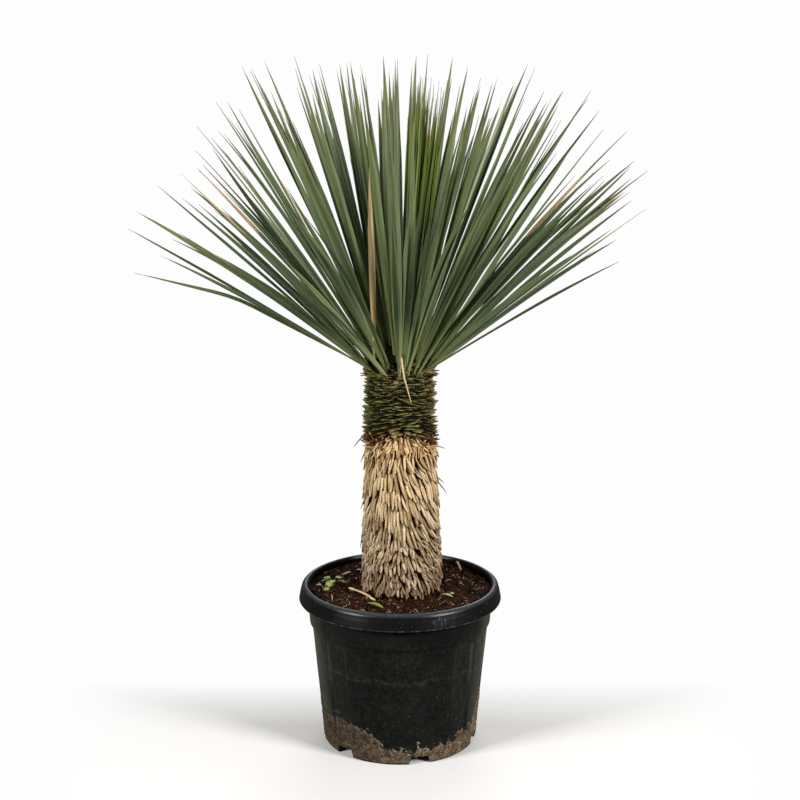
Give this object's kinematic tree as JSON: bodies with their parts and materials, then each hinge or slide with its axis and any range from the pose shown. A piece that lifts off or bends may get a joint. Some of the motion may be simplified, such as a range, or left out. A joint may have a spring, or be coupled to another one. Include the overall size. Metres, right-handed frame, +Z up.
{
  "type": "potted yucca",
  "caption": "Yucca with a rosette of narrow blue-green leaves on a short thatched trunk, growing in a round black nursery pot with a rolled rim.",
  "frame": {"origin": "centre of the pot's foot, on the surface that it stands on", "axes": "+Z up along the trunk; the pot's smooth label panel faces -Y; the crown's broader axis lies 28 degrees from +X towards +Y"},
  "size_m": [0.7523, 0.6684, 1.0793],
  "materials": {
    "black_plastic": "matt moulded, scuffed and dusty, with dried mud near the foot",
    "potting_mix": "loose, dark brown, with bark fibres",
    "thatch": "dry fibrous dead leaf bases",
    "green_leaf_base": "cut olive-green leaf bases",
    "leaf": "blue-green, waxy, finely striped",
    "dry_leaf": "dry and papery",
    "dry_wood": "dry and weathered",
    "weed": "thin fresh leaf"
  },
  "bodies": {
    "root": {"pot": "black_plastic", "soil": "potting_mix", "trunk": "thatch", "leaf_base_collar": "green_leaf_base", "leaf_01": "leaf", "leaf_02": "leaf", "leaf_03": "leaf", "leaf_04": "leaf", "leaf_05": "leaf", "leaf_06": "leaf", "leaf_07": "leaf", "leaf_08": "leaf", "leaf_09": "leaf", "leaf_10": "leaf", "leaf_11": "leaf", "leaf_12": "leaf", "leaf_13": "leaf", "leaf_14": "leaf", "leaf_15": "leaf", "leaf_16": "leaf", "leaf_17": "leaf", "leaf_18": "leaf", "leaf_19": "leaf", "leaf_20": "leaf", "leaf_21": "leaf", "leaf_22": "leaf", "leaf_23": "leaf", "leaf_24": "leaf", "leaf_25": "leaf", "leaf_26": "leaf", "leaf_27": "leaf", "leaf_28": "leaf", "leaf_29": "leaf", "leaf_30": "leaf", "leaf_31": "leaf", "leaf_32": "leaf", "leaf_33": "leaf", "leaf_34": "leaf", "leaf_35": "leaf", "leaf_36": "leaf", "leaf_37": "leaf", "leaf_38": "leaf", "leaf_39": "leaf", "leaf_40": "leaf", "leaf_41": "leaf", "leaf_42": "leaf", "leaf_43": "leaf", "leaf_44": "leaf", "leaf_45": "leaf", "leaf_46": "leaf", "bent_leaf": "leaf", "dead_leaf": "dry_leaf", "dead_strand": "dry_leaf", "twig": "dry_wood", "bark_stub": "dry_wood", "seedling_large": "weed", "seedling_small": "weed", "fallen_leaf_left": "weed", "fallen_leaf_right": "weed"}
  },
  "joints": []
}
